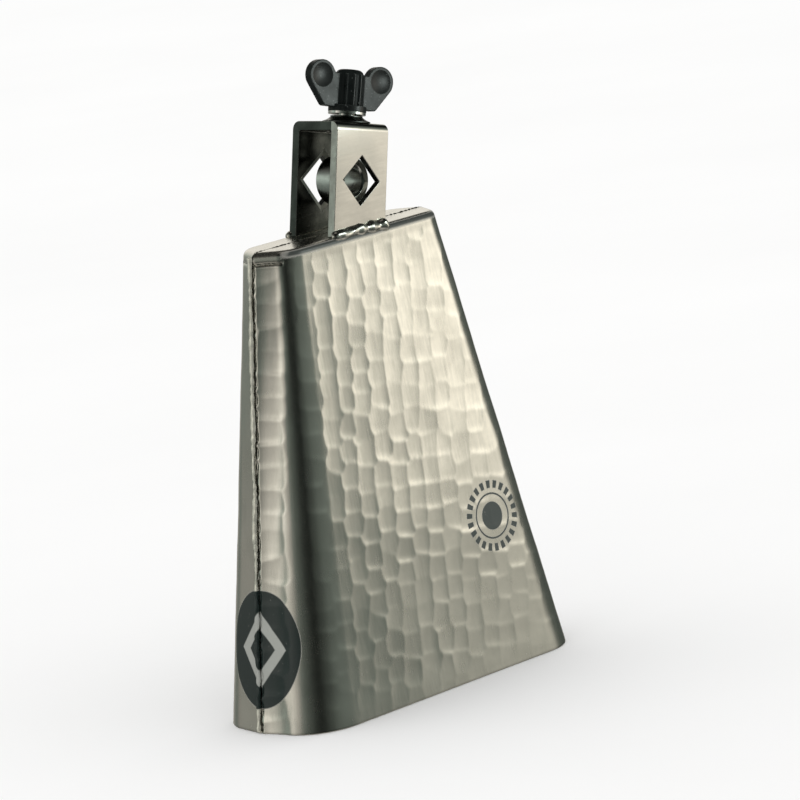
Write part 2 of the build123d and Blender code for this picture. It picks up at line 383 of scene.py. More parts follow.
# ---- bell shells ----
FLANGE_CELLS, CORNER_CELLS, FACE_CELLS = 26, 30, 180
WALL_CELLS, FOLD_CELLS, TOP_CELLS = 237, 8, 12
SEAM_CROWDING = 1.6  # power that draws the flange's cells closer together at the seam
RIM_SHARES = np.array([0.0, 0.25, 0.6, 1.0])
AT_SEAM = 0.02  # places closer to the seam than this lie in its plane
# inset, step between the columns and rows used, and share of the hammering that shows
OUTER_SKIN = (0.0, 1, 1.0)
INNER_SKIN = (SHEET, 2, 0.5)


def plan_places():
    """Places of the outer columns of points, from the left seam edge to the right one."""
    return np.concatenate(
        [
            np.linspace(0, 1, FLANGE_CELLS, endpoint=False) ** SEAM_CROWDING,
            np.linspace(1, 2, CORNER_CELLS, endpoint=False),
            np.linspace(2, 3, FACE_CELLS, endpoint=False),
            np.linspace(3, 4, CORNER_CELLS, endpoint=False),
            5 - np.linspace(1, 0, FLANGE_CELLS + 1) ** SEAM_CROWDING,
        ]
    )


def skin(side, inset, thin, share):
    """Grid of points of one skin of a sheet, hammered, with its rim rounded."""
    places = plan_places()[::thin]
    rim = RIM_SHARES * RIM_ROUND / HEIGHT
    wall_rows = np.concatenate([rim, np.linspace(RIM_ROUND / HEIGHT, 1, WALL_CELLS + 1)[1:]])
    fold_rows = np.arange(1, FOLD_CELLS + 1) / FOLD_CELLS
    top_rows = np.arange(1, TOP_CELLS + 1) / TOP_CELLS
    surface = BellSurface(inset)
    grid = surface.grid(
        places, wall_rows[::thin], fold_rows[thin - 1 :: thin], top_rows[thin - 1 :: thin]
    )
    points = to_world(grid, side)
    normals = surface_normals(points, side)
    reach = len(wall_rows[::thin])
    heights = points[:reach, :, 2] / surface.height
    places = np.broadcast_to(places, heights.shape)
    depth = hammering(side, surface, places, heights) * share
    low = np.clip(RIM_ROUND - points[:reach, :, 2], 0, RIM_ROUND)
    rounding = RIM_ROUND - np.sqrt(RIM_ROUND**2 - low**2)
    depth = depth - rounding if inset == 0.0 else depth + rounding
    flat = normals[:reach].copy()
    flat[..., 2] *= smooth_step(0.0, 2 * MM, points[:reach, :, 2])
    points[:reach] += flat * depth[..., None]
    at_seam = (places < AT_SEAM) | (places > 5 - AT_SEAM)
    points[:reach, :, 1] = np.where(at_seam, side * SEAM_HALF, points[:reach, :, 1])
    return points


def build_shell(name, side):
    """One folded sheet of the bell with its hammer marks, its inner surface and its cut edges."""
    outer, inner = skin(side, *OUTER_SKIN), skin(side, *INNER_SKIN)
    rows, columns = outer.shape[:2]
    rows_in, columns_in = inner.shape[:2]
    first = rows * columns
    outer_faces = grid_faces(rows, columns, 0, side == BACK)
    inner_faces = grid_faces(rows_in, columns_in, first, side == FRONT)

    def outer_index(row, column):
        return row * columns + column

    def inner_index(row, column):
        return first + row * columns_in + column

    edges = []
    for k in range(columns_in - 1):
        for row, row_in in ((0, 0), (rows - 1, rows_in - 1)):
            edges.append(
                [outer_index(row, 2 * k + i) for i in (0, 1, 2)]
                + [inner_index(row_in, k + 1), inner_index(row_in, k)]
            )
    for k in range(rows_in - 1):
        for column, column_in in ((0, 0), (columns - 1, columns_in - 1)):
            edges.append(
                [outer_index(2 * k + i, column) for i in (0, 1, 2)]
                + [inner_index(k + 1, column_in), inner_index(k, column_in)]
            )
    points = np.concatenate([outer.reshape(-1, 3), inner.reshape(-1, 3)])
    faces = outer_faces + inner_faces + edges
    materials = [0] * len(outer_faces) + [1] * (len(inner_faces) + len(edges))
    shell = make_object(name, points, faces, materials)
    finish_mesh(shell, sharp_degrees=50)
    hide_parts(name.replace("_sheet", "_shell"))
    return shell


shells = [build_shell("front_sheet", FRONT), build_shell("back_sheet", BACK)]


# ---- weld beads ----
BEAD_SIDES = 14
BEAD_TIP = 0.0016  # square of the share of its size that a bead keeps at its very ends
BEAD_ENDS = 1.2  # length of a bead's rounded ends, in heights
BEAD_ROUGHNESS = 0.07
# wavelength in pitches, and size, of a bead's slower changes
LUMP_SHIFT = (4, 0.3)
LUMP_DRIFT = (7, 0.5)
WANDER = (5, 0.15)
# where the beads lie
RIDGE_OUT = (0.986, 0.163)  # outwards from a narrow side's ridge, along x and up
ROOT_SINK = 1.35 * MM
DROP_RISE = 0.05 * MM
DROP_BACK = 1.3 * MM
TOP_SINK = 0.65 * MM
TAB_SINK = 0.55 * MM
FOOT_STAND = 0.3 * MM
DIAGONAL = 0.7071


def bead(path, outward, width, height, seed, pitch, swell):
    """Points and faces of a lumpy weld bead along a path; width and height are its half sizes."""
    tangent = np.gradient(path, axis=0)
    tangent /= np.linalg.norm(tangent, axis=1, keepdims=True)
    across = np.cross(tangent, outward)
    across /= np.linalg.norm(across, axis=1, keepdims=True)
    outward = np.cross(across, tangent)
    run = np.concatenate([[0], np.cumsum(np.linalg.norm(np.diff(path, axis=0), axis=1))])
    warped = run + ripple(seed, LUMP_SHIFT[0] * pitch, run) * LUMP_SHIFT[1] * pitch
    lump = 1 + swell * (np.abs(np.sin(math.pi * warped / pitch)) - 0.6)
    lump = lump + ripple(seed + 1, LUMP_DRIFT[0] * pitch, run) * swell * LUMP_DRIFT[1]
    ends = np.clip(np.minimum(run, run[-1] - run) / (BEAD_ENDS * height), 0, 1)
    lump = lump * np.sqrt(np.maximum(1 - (1 - ends) ** 2, BEAD_TIP))
    wander = ripple(seed + 2, WANDER[0] * pitch, run) * WANDER[1] * width
    angles = np.arange(BEAD_SIDES) / BEAD_SIDES * 2 * math.pi
    cosines, sines = np.cos(angles), np.sin(angles)
    rings = []
    for i in range(len(path)):
        place = np.full(BEAD_SIDES, run[i] / (0.4 * pitch))
        rough = 1 + BEAD_ROUGHNESS * ripple(seed + 3, 1.3, cosines, sines, place)
        rings.append(
            path[i]
            + across[i] * (width * lump[i] * cosines * rough + wander[i])[:, None]
            + outward[i] * (height * lump[i] * sines * rough)[:, None]
        )
    faces = []
    for i in range(len(path) - 1):
        here, ahead = i * BEAD_SIDES, (i + 1) * BEAD_SIDES
        for k in range(BEAD_SIDES):
            turned = (k + 1) % BEAD_SIDES
            faces.append([here + k, here + turned, ahead + turned, ahead + k])
    faces.append(list(range(BEAD_SIDES))[::-1])
    faces.append([(len(path) - 1) * BEAD_SIDES + k for k in range(BEAD_SIDES)])
    return np.concatenate(rings), faces


def bead_object(name, node, beads, looks=None):
    """One object from several beads, standing for a weld node; looks are the beads' materials."""
    points, faces = [], []
    for bead_points, bead_faces in beads:
        first = sum(len(p) for p in points)
        points.append(bead_points)
        faces += [[first + i for i in face] for face in bead_faces]
    thing = make_object(name, np.concatenate(points), faces)
    finish_mesh(thing, sharp_degrees=60)
    if looks:
        materials = np.repeat(looks, [len(bead_faces) for _, bead_faces in beads])
        thing.data.polygons.foreach_set("material_index", materials.astype(np.int32))
    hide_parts(node)
    return thing


def seam_welds(name, node, end, seed):
    """The weld down one narrow side: a sunk root and a row of drops on the back sheet's edge."""
    z = np.arange(0.4 * MM, HEIGHT - 1.2 * MM, 0.45 * MM)
    share = z / HEIGHT
    x = end * (MOUTH["ridge"] * (1 - share) + TOP["ridge"] * share)
    outward = np.tile([end * RIDGE_OUT[0], 0, RIDGE_OUT[1]], (len(z), 1))
    ridge = np.stack([x, np.zeros_like(z), z], -1)
    root = bead(
        ridge - outward * ROOT_SINK,
        outward,
        width=0.62 * MM,
        height=0.42 * MM,
        seed=seed,
        pitch=3.0 * MM,
        swell=0.25,
    )
    drops = bead(
        ridge + outward * DROP_RISE + np.array([0, DROP_BACK, 0]),
        outward,
        width=0.95 * MM,
        height=0.75 * MM,
        seed=seed + 7,
        pitch=6.5 * MM,
        swell=0.4,
    )
    return bead_object(name, node, [root, drops], looks=(0, 1))


def top_weld():
    """The weld across the closed end."""
    x = np.arange(-TOP_RIDGE + 2.2 * MM, TOP_RIDGE - 2.2 * MM, 0.5 * MM)
    path = np.stack([x, np.zeros_like(x), np.full_like(x, HEIGHT - TOP_SINK)], -1)
    outward = np.tile([0, 0, 1.0], (len(x), 1))
    line = bead(
        path, outward, width=0.75 * MM, height=0.85 * MM, seed=71, pitch=3.2 * MM, swell=0.3
    )
    return bead_object("top_seam_bead", "top_seam_weld", [line])


def tab_welds():
    """Short beads in the grooves under the folded tabs."""
    surface = BellSurface()
    made = []
    for side in (FRONT, BACK):
        for end in (0, 1):
            q = np.linspace(0.03, 1.45, 26)
            q = 5 - q if end else q
            points = to_world(surface.wall(q, np.full_like(q, TAB_LINE / HEIGHT)), side)
            points = points[np.abs(points[:, 0]) > TAB_REACH]
            outward = points - np.array([0, 0, TAB_LINE])
            outward[:, 2] = 0
            outward /= np.linalg.norm(outward, axis=1, keepdims=True)
            made.append(
                bead(
                    points - outward * TAB_SINK,
                    outward,
                    width=0.4 * MM,
                    height=0.35 * MM,
                    seed=81 + side + 4 * end,
                    pitch=2.4 * MM,
                    swell=0.4,
                )
            )
    return bead_object("tab_joint_beads", "tab_weld_beads", made)


def foot_welds():
    """The lumpy beads along the bracket's feet."""
    bracket_low, bracket_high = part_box("mount_bracket")
    foot_low, foot_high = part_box("bracket_weld_beads")
    x = np.arange(foot_low.x + 0.3 * MM, foot_high.x - 0.3 * MM, 0.5 * MM)
    made = []
    for side in (FRONT, BACK):
        y = side * (bracket_high.y - bracket_low.y) / 2 + side * FOOT_STAND
        path = np.stack([x, np.full_like(x, y), np.full_like(x, HEIGHT)], -1)
        outward = np.tile([0, side * DIAGONAL, DIAGONAL], (len(x), 1))
        made.append(
            bead(
                path,
                outward,
                width=2.9 * MM,
                height=2.4 * MM,
                seed=91 + side,
                pitch=9.0 * MM,
                swell=0.14,
            )
        )
    return bead_object("bracket_foot_beads", "bracket_weld_beads", made)


weld_pieces = [
    seam_welds("left_seam_bead", "left_seam_weld", -1, 31),
    seam_welds("right_seam_bead", "right_seam_weld", 1, 51),
    top_weld(),
    tab_welds(),
    foot_welds(),
]


# ---- turned, bent and moulded pieces ----
KEPT_SHARP = math.radians(35)
HARD_EDGE = math.radians(25)  # edges sharper than this are eased
FLAT_JOIN = math.radians(0.6)  # faces nearer to flat than this become one
BRACKET_EASING = 0.6 * MM
BRACKET_LEAN = math.radians(13.5)
STRAP = 4.0 * MM
PARALLEL = 0.99  # cosine from which two directions count as one
ROLLED = (0.3, 0.97)  # sideways part of the normal of a rolled edge
BOSS_REACH = 6.9 * MM  # the nut's ribbed boss lies within this distance of the stud's axis
WING_EDGE = 0.6  # cosine to the wings' thin direction below which a face is on their edge


def bare_copy(node, name):
    """A copy of one of the solid parts, without a material."""
    mesh = frame["nodes"][node].data.copy()
    mesh.materials.clear()
    thing = bpy.data.objects.new(name, mesh)
    bpy.context.scene.collection.objects.link(thing)
    return thing


def stand_in(thing, node):
    """Put a piece on its solid part's body, in that part's place."""
    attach(thing, frame["nodes"][node]["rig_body"])
    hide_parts(node)
    shade_smooth(thing.data)


def eased_copy(node, name, width):
    """A copy of a solid part whose sharp edges are eased."""
    thing = bare_copy(node, name)
    shape = bmesh.new()
    shape.from_mesh(thing.data)
    bmesh.ops.remove_doubles(shape, verts=shape.verts, dist=2 * MERGE)
    bmesh.ops.dissolve_limit(shape, angle_limit=FLAT_JOIN, verts=shape.verts, edges=shape.edges)
    joined = [edge for edge in shape.edges if len(edge.link_faces) == 2]
    hard = [edge for edge in joined if edge.calc_face_angle() > HARD_EDGE]
    bmesh.ops.bevel(
        shape,
        geom=hard,
        offset=width,
        offset_type="OFFSET",
        segments=3,
        profile=0.5,
        affect="EDGES",
        clamp_overlap=True,
    )
    shape.to_mesh(thing.data)
    shape.free()
    stand_in(thing, node)
    thing.data.set_sharp_from_angle(angle=KEPT_SHARP)
    flat_faces = thing.modifiers.new("flat faces", "WEIGHTED_NORMAL")
    flat_faces.keep_sharp = True
    flat_faces.weight = 100
    return thing


def finish_bracket(strap):
    """Polished outer faces (0), painted shade on the inner faces, holes and cut edges behind the
    front leg (1), grey cut edges in front (2).
    """
    low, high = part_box("mount_bracket")
    half = (high.y - low.y) / 2
    across = Vector((math.cos(BRACKET_LEAN), 0, -math.sin(BRACKET_LEAN)))
    axis = Vector((math.sin(BRACKET_LEAN), 0, math.cos(BRACKET_LEAN)))
    shape = bmesh.new()
    shape.from_mesh(strap.data)
    for y in (STRAP - half, half - STRAP):
        everything = shape.verts[:] + shape.edges[:] + shape.faces[:]
        bmesh.ops.bisect_plane(shape, geom=everything, plane_co=(0, y, 0), plane_no=(0, 1, 0))
    top = max(v.co.dot(axis) for v in shape.verts)
    for face in shape.faces:
        centre = face.calc_center_median()
        depth_in = min(half - abs(centre.y), top - centre.dot(axis))
        on_cut_edge = abs(face.normal.dot(across)) > PARALLEL
        inward = abs(centre.y) < half - STRAP / 2
        rolled = ROLLED[0] < abs(face.normal.y) < ROLLED[1] and inward
        # index 1 is painted shade: near black where shade falls inside the bracket and on its rear
        # cut edges
        if rolled or (on_cut_edge and centre.y < STRAP - half):
            face.material_index = 2
        elif on_cut_edge or depth_in > BRACKET_EASING * 1.1:
            face.material_index = 1
    shape.to_mesh(strap.data)
    shape.free()
    strap.data.set_sharp_from_angle(angle=KEPT_SHARP)


def moulded_copy(node, name, cell, rounds):
    """A copy of a solid part with every edge softened as in a plastic moulding."""
    thing = bare_copy(node, name)
    cells = thing.modifiers.new("cells", "REMESH")
    cells.mode = "VOXEL"
    cells.voxel_size = cell
    soften = thing.modifiers.new("soften", "SMOOTH")
    soften.factor = 0.5
    soften.iterations = rounds
    bpy.context.view_layer.update()
    graph = bpy.context.evaluated_depsgraph_get()
    baked = bpy.data.meshes.new_from_object(thing.evaluated_get(graph))
    thing.modifiers.clear()
    thing.data = baked
    stand_in(thing, node)
    return thing


def mark_shaded_plastic(nut):
    """1 for the ribbed boss, its skirt and the wings' edges, which get a dulled copy of the
    plastic as painted shade; the wings' flat faces keep 0.
    """
    bush_points = np.array([v.co for v in frame["nodes"]["wing_nut_bush"].data.vertices])
    middle = bush_points.mean(axis=0)
    axes = np.linalg.svd(bush_points - middle, full_matrices=False)[2]
    stud = Vector(axes[np.argmax(np.abs(axes[:, 2]))])
    # a fifth of the points is enough to find the direction in which the wings are thin
    wings = np.array([v.co for v in nut.data.vertices])[::5]
    thin = Vector(np.linalg.svd(wings - wings.mean(axis=0), full_matrices=False)[2][2])
    for face in nut.data.polygons:
        off = face.center - Vector(middle)
        in_boss = (off - stud * off.dot(stud)).length < BOSS_REACH
        on_edge = abs(face.normal.dot(thin)) < WING_EDGE
        face.material_index = int(in_boss or on_edge)


bracket = eased_copy("mount_bracket", "bent_bracket", BRACKET_EASING)
finish_bracket(bracket)
eye_bolt = eased_copy("eye_bolt", "ring_bolt", 0.25 * MM)
collar = eased_copy("flared_collar", "dished_collar", 0.15 * MM)
bush = eased_copy("wing_nut_bush", "nut_bush", 0.15 * MM)
wing_nut = moulded_copy("wing_nut_body", "wing_nut_moulding", 0.2 * MM, 2)
mark_shaded_plastic(wing_nut)


# ---- node helpers ----
class Nodes:
    """A node tree, with short calls that add a node and feed its inputs."""

    def __init__(self, tree):
        self.tree = tree

    def feed(self, socket, value):
        """Link an input to an output, or give it a number, a vector or a colour."""
        if isinstance(value, bpy.types.NodeSocket):
            self.tree.links.new(value, socket)
        elif socket.type == "RGBA":
            socket.default_value = (*value, 1)
        else:
            socket.default_value = value

    def add(self, kind, inputs=None, **settings):
        """A new node of a kind, with its settings and its inputs."""
        node = self.tree.nodes.new(kind)
        for key, value in settings.items():
            setattr(node, key, value)
        for key, value in (inputs or {}).items():
            self.feed(node.inputs[key], value)
        return node

    def math(self, operation, *values):
        """The result of a sum on numbers or sockets."""
        return self.add("ShaderNodeMath", dict(enumerate(values)), operation=operation).outputs[0]

    def product(self, first, *others):
        """All the values multiplied, in turn."""
        for other in others:
            first = self.math("MULTIPLY", first, other)
        return first

    def distance(self, first, second):
        """Distance from the middle, given the distances along two axes."""
        squares = [self.product(value, value) for value in (first, second)]
        return self.math("SQRT", self.math("ADD", *squares))

    def spread(self, value, low, high, from_low=0.3, from_high=0.7):
        """A value moved from one range to another."""
        ranges = {"From Min": from_low, "From Max": from_high, "To Min": low, "To Max": high}
        return self.add("ShaderNodeMapRange", {"Value": value, **ranges}).outputs["Result"]

    def band(self, value, low, high, soft):
        """1 where the value lies between low and high, 0 elsewhere, with a soft edge."""
        above = self.spread(value, 0.0, 1.0, low - soft, low + soft)
        below = self.spread(value, 1.0, 0.0, high - soft, high + soft)
        return self.product(above, below)

    def mix(self, factor, first, second, **settings):
        """Two colours blended by a factor."""
        inputs = {0: factor, 6: first, 7: second}
        return self.add("ShaderNodeMix", inputs, data_type="RGBA", **settings).outputs[2]

    def noise(self, scale, detail, roughness=0.55, stretch=(1, 1, 1)):
        """Cloudy noise in the object's own coordinates, stretched by axis for brushed marks."""
        place = self.add("ShaderNodeTexCoord").outputs["Object"]
        vector = self.add("ShaderNodeMapping", {"Vector": place, "Scale": stretch}).outputs[0]
        inputs = {"Vector": vector, "Scale": scale, "Detail": detail, "Roughness": roughness}
        return self.add("ShaderNodeTexNoise", inputs).outputs["Fac"]

    def bump(self, height, strength, distance):
        """A normal shaken by a height."""
        inputs = {"Height": height, "Strength": strength, "Distance": distance}
        return self.add("ShaderNodeBump", inputs).outputs["Normal"]

    def axes(self, coordinates="Object"):
        """The x, y and z of a set of coordinates."""
        place = self.add("ShaderNodeTexCoord").outputs[coordinates]
        return self.add("ShaderNodeSeparateXYZ", {0: place}).outputs


def surface_inputs(material):
    """The inputs of a material's surface shader."""
    return material.node_tree.nodes["Principled BSDF"].inputs


def new_material(name):
    """A node material, its nodes and its surface shader's inputs."""
    material = bpy.data.materials.new(name)
    material.use_nodes = True
    return material, Nodes(material.node_tree), surface_inputs(material)


# ---- printed marks and painted fold shade ----
OVAL_HEIGHT = 35.6 * MM  # middle of the oval, above the mouth
OVAL_HALF_UP = 25.2 * MM
OVAL_HALF_ROUND = 20.5 * MM
LOZENGE = (0.36, 0.64)  # inner and outer reach of the lozenge ring, in half sizes of the oval
BADGE_X = 41.5 * MM
BADGE_Z = 66.5 * MM
BADGE_RADIUS = 15.6 * MM
BADGE_TICKS = (0.78, 1.0)  # from and to, in badge radii
BADGE_LINE = (0.60, 0.655)
BADGE_DISC = 0.40
TICKS = 22


def over_seam(nodes):
    """Distances round and up from the oval's middle, in its half sizes, and 1 on the left end."""
    x, y, z = nodes.axes()
    across = nodes.math("DIVIDE", nodes.math("ABSOLUTE", y), OVAL_HALF_ROUND)
    height = nodes.math("SUBTRACT", z, OVAL_HEIGHT)
    height = nodes.math("DIVIDE", height, OVAL_HALF_UP)
    return across, height, nodes.math("LESS_THAN", x, 0.0)


def oval_print(nodes):
    """Mask of a dark oval over the left seam."""
    across, height, on_left = over_seam(nodes)
    return nodes.product(nodes.band(nodes.distance(across, height), -1.0, 1.0, 0.012), on_left)


def lozenge_print(nodes):
    """Mask of a pale lozenge ring inside the oval."""
    across, height, on_left = over_seam(nodes)
    reach = nodes.math("ADD", across, nodes.math("ABSOLUTE", height))
    return nodes.product(nodes.band(reach, *LOZENGE, 0.015), on_left)


def badge_print(nodes):
    """Mask of a ring of ticks round a plain disc on the front face."""
    x, y, z = nodes.axes()
    off_x = nodes.math("SUBTRACT", x, BADGE_X)
    off_z = nodes.math("SUBTRACT", z, BADGE_Z)
    reach = nodes.math("DIVIDE", nodes.distance(off_x, off_z), BADGE_RADIUS)
    turn = nodes.math("MULTIPLY", nodes.math("ARCTAN2", off_z, off_x), TICKS)
    ticks = nodes.spread(nodes.math("SINE", turn), 0.0, 1.0, -0.30, -0.10)
    ring = nodes.product(ticks, nodes.band(reach, *BADGE_TICKS, 0.012))
    line = nodes.band(reach, *BADGE_LINE, 0.01)
    disc = nodes.band(reach, -1.0, BADGE_DISC, 0.012)
    shape = nodes.math("ADD", nodes.math("ADD", ring, line), disc)
    return nodes.product(shape, nodes.math("LESS_THAN", y, 0.0))


def painted_fold_shade(nodes):
    """Mask of painted shade along the folds from the broad faces to the closed end: a dark band
    standing for the folds' dark reflection.
    """
    _, y, z = nodes.axes()
    rising = nodes.spread(z, 0.0, 0.95, HEIGHT - 3.6 * MM, HEIGHT - 2.2 * MM)
    below_top = nodes.spread(z, 1.0, 0.0, HEIGHT - 0.9 * MM, HEIGHT - 0.35 * MM)
    off_middle = nodes.spread(nodes.math("ABSOLUTE", y), 0.0, 1.0, 11 * MM, 14 * MM)
    return nodes.product(rising, below_top, off_middle)


def source(socket):
    """What feeds an input: another node's output, or its own value."""
    return socket.links[0].from_socket if socket.links else socket.default_value


def lay_ink_and_shade(material, ink_and_shade_mask, colour, roughness):
    """Ink laid over a metal where a mask is 1, thinned here and there as it wears; painted shade
    is laid the same way.
    """
    nodes, surface = Nodes(material.node_tree), surface_inputs(material)
    worn = nodes.noise(scale=420.0, detail=6.0, roughness=0.7)
    kept = nodes.spread(worn, 0.5, 1.0, from_low=0.26, from_high=0.36)
    mask = nodes.product(ink_and_shade_mask(nodes), kept)
    base, rough, metallic = (surface[key] for key in ("Base Color", "Roughness", "Metallic"))
    nodes.feed(base, nodes.mix(mask, source(base), colour))
    blend = nodes.add("ShaderNodeMix", {0: mask, 2: source(rough), 3: roughness})
    nodes.feed(rough, blend.outputs[0])
    bare = nodes.math("SUBTRACT", 1.0, mask)
    nodes.feed(metallic, nodes.product(source(metallic), bare))


# ---- materials ----
GRAIN_SCALE = 900.0
GRAIN_DEPTH = 0.04 * MM
PLASTIC_GRAIN_DEPTH = 0.06 * MM


def metal(name, light, dark, rough, scratch, brush=(1, 1, 1), blotches=60.0, shine=1.0):
    """Metal with blotches of tarnish and fine drawn scratches; shine is how metallic it is."""
    material, nodes, surface = new_material(name)
    tarnish = nodes.noise(blotches, 5.0)
    grain = nodes.noise(GRAIN_SCALE, 3.0, stretch=brush)
    nodes.feed(surface["Base Color"], nodes.mix(nodes.spread(tarnish, 0.0, 1.0), light, dark))
    nodes.feed(surface["Metallic"], shine)
    shaken = nodes.spread(grain, -0.03, 0.03)
    roughness = nodes.math("ADD", nodes.spread(tarnish, *rough), shaken)
    nodes.feed(surface["Roughness"], roughness)
    nodes.feed(surface["Normal"], nodes.bump(grain, scratch, GRAIN_DEPTH))
    return material


def moulded_plastic(name, shine):
    """Black moulded plastic with a fine grain and scuffed edges."""
    material, nodes, surface = new_material(name)
    cloud = nodes.noise(180.0, 4.0)
    grain = nodes.noise(2600.0, 2.0)
    pointiness = nodes.add("ShaderNodeNewGeometry").outputs["Pointiness"]
    clouded = nodes.spread(cloud, 0.0, 1.0)
    base = nodes.mix(clouded, (0.004, 0.006, 0.0055), (0.008, 0.011, 0.010))
    scuffs = nodes.spread(pointiness, 0.0, 1.0, 0.52, 0.6)
    nodes.feed(surface["Base Color"], nodes.mix(scuffs, base, (0.07, 0.08, 0.075)))
    nodes.feed(surface["Roughness"], nodes.spread(cloud, 0.26, 0.38))
    nodes.feed(surface["Specular IOR Level"], shine)
    nodes.feed(surface["Normal"], nodes.bump(grain, 0.25, PLASTIC_GRAIN_DEPTH))
    return material


hammered = metal(
    "hammered steel",
    light=(0.80, 0.775, 0.70),
    dark=(0.70, 0.68, 0.61),
    rough=(0.20, 0.27),
    brush=(1, 1, 0.06),
    scratch=0.25,
)
inner_steel = metal(
    "inner steel",
    light=(0.42, 0.42, 0.38),
    dark=(0.30, 0.30, 0.27),
    rough=(0.38, 0.5),
    brush=(1, 1, 0.2),
    scratch=0.4,
)
weld = metal(
    "weld metal",
    light=(0.86, 0.82, 0.74),
    dark=(0.42, 0.42, 0.38),
    rough=(0.14, 0.34),
    scratch=0.5,
    blotches=400.0,
)
dull_weld = metal(
    "dull weld",
    light=(0.88, 0.85, 0.72),
    dark=(0.52, 0.52, 0.44),
    rough=(0.16, 0.3),
    scratch=0.5,
    blotches=400.0,
    shine=0.6,
)
bracket_steel = metal(
    "bracket steel",
    light=(0.63, 0.605, 0.55),
    dark=(0.56, 0.54, 0.49),
    rough=(0.18, 0.25),
    brush=(0.08, 1, 1),
    scratch=0.18,
)
bolt_steel = metal(
    "plated bolt",
    light=(0.78, 0.78, 0.74),
    dark=(0.6, 0.6, 0.56),
    rough=(0.16, 0.26),
    brush=(1, 1, 0.3),
    scratch=0.2,
    blotches=200.0,
)
cut_steel = metal(
    "cut edge",
    light=(0.62, 0.61, 0.56),
    dark=(0.45, 0.45, 0.41),
    rough=(0.25, 0.4),
    brush=(1, 1, 0.1),
    scratch=0.5,
    blotches=300.0,
)
# painted shade: near-black steel for the bracket's inner faces, holes and rear cut edges
bracket_shade_steel = metal(
    "bracket painted shade",
    light=(0.10, 0.105, 0.095),
    dark=(0.04, 0.045, 0.04),
    rough=(0.16, 0.3),
    brush=(0.1, 1, 1),
    scratch=0.25,
    blotches=120.0,
)
collar_steel = metal(
    "blackened collar",
    light=(0.16, 0.165, 0.155),
    dark=(0.06, 0.07, 0.065),
    rough=(0.25, 0.4),
    scratch=0.3,
    blotches=250.0,
)
plastic = moulded_plastic("black plastic", 0.45)
# painted shade: a copy of the black plastic with weak reflections, for the boss and the wings'
# edges
shaded_plastic = moulded_plastic("black plastic dulled for shade", 0.12)

for inked in (hammered, weld, dull_weld):
    lay_ink_and_shade(inked, oval_print, (0.012, 0.020, 0.018), 0.28)
    lay_ink_and_shade(inked, lozenge_print, (0.33, 0.34, 0.31), 0.4)
lay_ink_and_shade(hammered, badge_print, (0.055, 0.068, 0.062), 0.42)
# painted shade: a dark band along the folds in place of their dark reflection
lay_ink_and_shade(hammered, painted_fold_shade, (0.016, 0.024, 0.021), 0.35)


def assign(thing, *materials):
    """Give a piece its materials and keep the choice already made for each face."""
    kept = np.zeros(len(thing.data.polygons), np.int32)
    thing.data.polygons.foreach_get("material_index", kept)
    thing.data.materials.clear()
    for material in materials:
        thing.data.materials.append(material)
    thing.data.polygons.foreach_set("material_index", kept)


for shell in shells:
    assign(shell, hammered, inner_steel)
for piece in weld_pieces:
    assign(piece, weld, dull_weld)
assign(bracket, bracket_steel, bracket_shade_steel, cut_steel)
assign(eye_bolt, bolt_steel)
assign(bush, bolt_steel)
assign(collar, collar_steel)
assign(wing_nut, plastic, shaded_plastic)


# ---- stage: floor, light, camera ----
AZIMUTH = math.radians(-42.98)
ELEVATION = math.radians(11.21)
ROLL = math.radians(7.92)
DISTANCE = 2.08
FOCAL = 5.95375  # focal length over the width of the frame
TARGET = Vector((0, 0, HEIGHT / 2))
AIM_RIGHT, AIM_UP = 0.0365, 0.071375  # from the target to the frame's middle, in frame widths
FLOOR_HALF = 8.0
FLOOR_DROP = 0.2 * MM
ROOM_LIGHT = 1.04

# bearing in degrees, tint and level of the studio's walls, as polished metal sees them
WARM = (1.03, 1.0, 0.93)
SHADE = (0.88, 1.03, 0.94)
WALLS = [
    (-180, SHADE, 0.28),
    (-162, WARM, 0.43),
    (-138, SHADE, 0.46),
    (-124, SHADE, 0.26),
    (-113, WARM, 1.0),
    (-103, WARM, 0.62),
    (-94, WARM, 0.42),
    (-84, SHADE, 0.16),
    (-68, SHADE, 0.085),
    (-50, SHADE, 0.026),
    (-38, SHADE, 0.014),
    (-20, SHADE, 0.065),
    (0, SHADE, 0.165),
    (22, SHADE, 0.22),
    (45, SHADE, 0.26),
    (75, SHADE, 0.17),
    (112, SHADE, 0.14),
    (132, WARM, 0.8),
    (150, WARM, 0.8),
    (180, SHADE, 0.28),
]
# elevation in degrees and level of the walls
WALL_HEIGHTS = [
    (-90, 0.2),
    (-45, 0.25),
    (-20, 0.4),
    (-8, 0.5),
    (0, 0.75),
    (6, 1.0),
    (12, 1.25),
    (20, 1.1),
    (30, 0.35),
    (42, 0.1),
    (60, 0.05),
    (90, 0.04),
]
# elevation in degrees and share of the plain light that takes over below and above the walls
PLAIN_SHARES = [(-90, 1.0), (-52, 1.0), (-30, 0.0), (70, 0.0), (82, 0.6), (90, 0.6)]
PLAIN_LEVEL = 0.42


def tinted(tint, level):
    """A tint at a level."""
    return tuple(part * level for part in tint)


def by_elevation(levels):
    """Ramp stops from pairs of elevation and level."""
    return [
        ((math.sin(math.radians(angle)) + 1) / 2, (level, level, level)) for angle, level in levels
    ]


